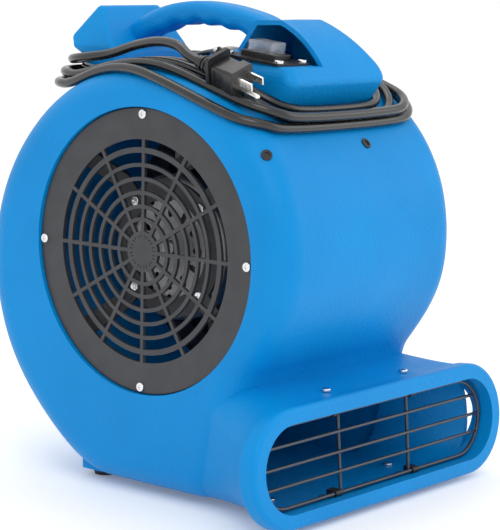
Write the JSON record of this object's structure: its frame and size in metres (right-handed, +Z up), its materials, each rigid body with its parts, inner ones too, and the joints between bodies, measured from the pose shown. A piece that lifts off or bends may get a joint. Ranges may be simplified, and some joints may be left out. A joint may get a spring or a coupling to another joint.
{
  "type": "air mover",
  "caption": "Centrifugal floor blower with a blue moulded scroll housing, round black inlet grilles, a wide guarded floor outlet, a carry handle and a wrapped power cord with plug",
  "frame": {"origin": "on the floor under the middle of the body, feet at z = 0", "axes": "+Z up, outlet faces -Y, fan axis along X"},
  "size_m": [0.345, 0.3642, 0.4143],
  "materials": {
    "blue_shell": "rotomoulded, fine leather-like grain",
    "grille_black": "satin moulded",
    "screw_steel": "bright zinc",
    "guard_wire": "black powder coat",
    "black_nylon": "moulded",
    "foot_rubber": "moulded",
    "switch_black": "satin moulded",
    "clear_cover": "clear flexible plastic",
    "rocker_black": "smooth",
    "brass_contact": "stamped",
    "motor_grey": "grey paint",
    "motor_cast": "die cast",
    "bearing_steel": "ground",
    "lamination_steel": "stacked sheet",
    "winding_copper": "varnished wire",
    "rotor_aluminium": "stacked sheet with cast cage",
    "bracket_steel": "black paint",
    "capacitor_black": "smooth",
    "wheel_steel": "dark coated sheet",
    "hub_aluminium": "turned",
    "cord_black": "semi-gloss jacket",
    "plug_black": "satin moulded",
    "blade_metal": "nickel plated"
  },
  "bodies": {
    "body": {"housing": "blue_shell", "left_inlet_grille": "grille_black", "right_inlet_grille": "grille_black", "left_grille_screws": "screw_steel", "right_grille_screws": "screw_steel", "outlet_guard": "guard_wire", "guard_clips": "black_nylon", "guard_screws": "screw_steel", "hole_plugs": "black_nylon", "rubber_feet": "foot_rubber", "foot_bolts": "screw_steel", "foot_nuts": "screw_steel", "switch_plate": "switch_black", "switch_plate_screws": "screw_steel", "switch_body": "switch_black", "switch_cover": "clear_cover", "switch_terminals": "brass_contact", "motor_shell": "motor_grey", "motor_end_bell_left": "motor_cast", "motor_end_bell_right": "motor_cast", "motor_bearings": "bearing_steel", "stator_core": "lamination_steel", "stator_windings": "winding_copper", "motor_bracket": "bracket_steel", "bracket_bolts": "screw_steel", "motor_bolts": "screw_steel", "capacitor": "capacitor_black", "capacitor_strap": "bracket_steel", "cord_gland": "black_nylon", "cord_lead": "cord_black", "cord_tail": "cord_black", "cord_bundle": "cord_black", "supply_lead": "cord_black", "motor_lead": "cord_black", "plug_body": "plug_black", "plug_blades": "blade_metal", "plug_ground_pin": "blade_metal", "plug_holder": "black_nylon", "plug_holder_screw": "screw_steel"},
    "rotor": {"fan_wheel": "wheel_steel", "fan_hub": "hub_aluminium", "hub_set_screw": "screw_steel", "rotor_core": "rotor_aluminium", "motor_shaft": "bearing_steel"},
    "rocker": {"switch_rocker": "rocker_black"}
  },
  "joints": [
    {"name": "fan_spin", "type": "hinge", "parent": "body", "child": "rotor", "pos_m": [0, -0.00807, 0.209], "axis": [1, 0, 0], "continuous": true},
    {"name": "switch_rock", "type": "hinge", "parent": "body", "child": "rocker", "pos_m": [-0.042, -0.07446, 0.37212], "axis": [1, 0, 0], "range_deg": [0, 18]}
  ]
}
